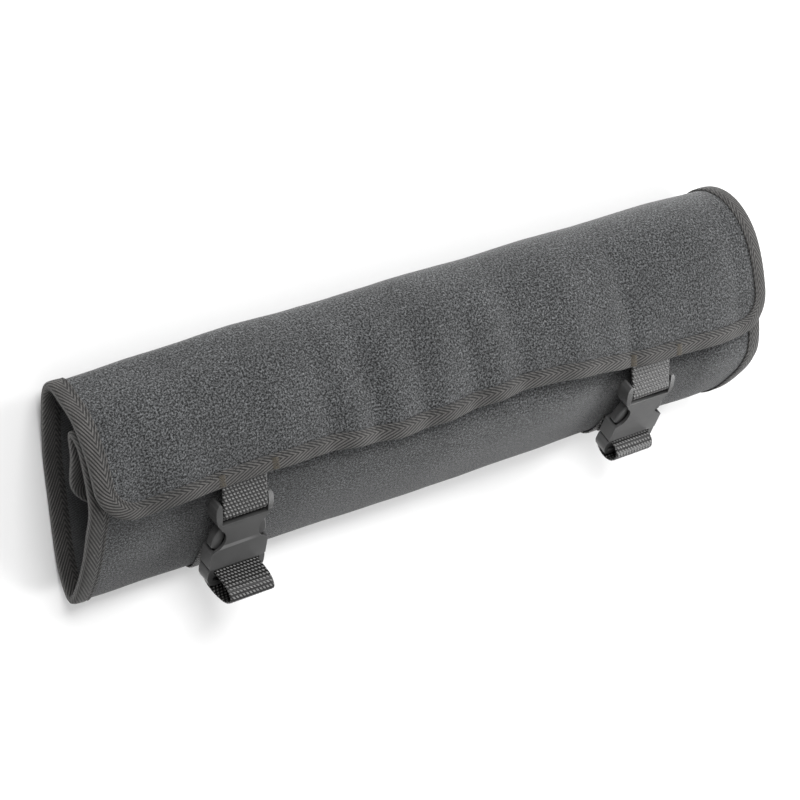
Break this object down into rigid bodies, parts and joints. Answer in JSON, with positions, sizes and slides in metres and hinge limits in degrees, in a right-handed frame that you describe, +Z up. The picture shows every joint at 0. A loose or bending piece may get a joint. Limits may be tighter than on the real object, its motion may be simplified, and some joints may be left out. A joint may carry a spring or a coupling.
{
  "type": "knife roll",
  "caption": "Rolled-up fabric knife roll with a bound flap, fastened by webbing straps with side-release buckles.",
  "frame": {"origin": "middle of the bounding box, on the surface that the roll lies on", "axes": "+X along the roll, +Y from the strap side's bottom fold towards the fold that carries the flap, +Z up out of the front"},
  "size_m": [0.485, 0.157, 0.0797],
  "materials": {
    "outer_fabric": "charcoal heather weave, matte",
    "lining": "dark fine twill, matte",
    "binding_tape": "ribbed binding tape, matte",
    "webbing": "coarse basket-woven webbing",
    "buckle_plastic": "satin moulded plastic"
  },
  "bodies": {
    "root": {"outer_fabric": "outer_fabric", "lining": "lining", "edge_binding": "binding_tape", "strap_upper_left": "webbing", "strap_upper_right": "webbing", "strap_lower_left": "webbing", "strap_lower_right": "webbing", "buckle_socket_left": "buckle_plastic", "buckle_socket_right": "buckle_plastic", "buckle_prong_left": "buckle_plastic", "buckle_prong_right": "buckle_plastic"}
  },
  "joints": []
}
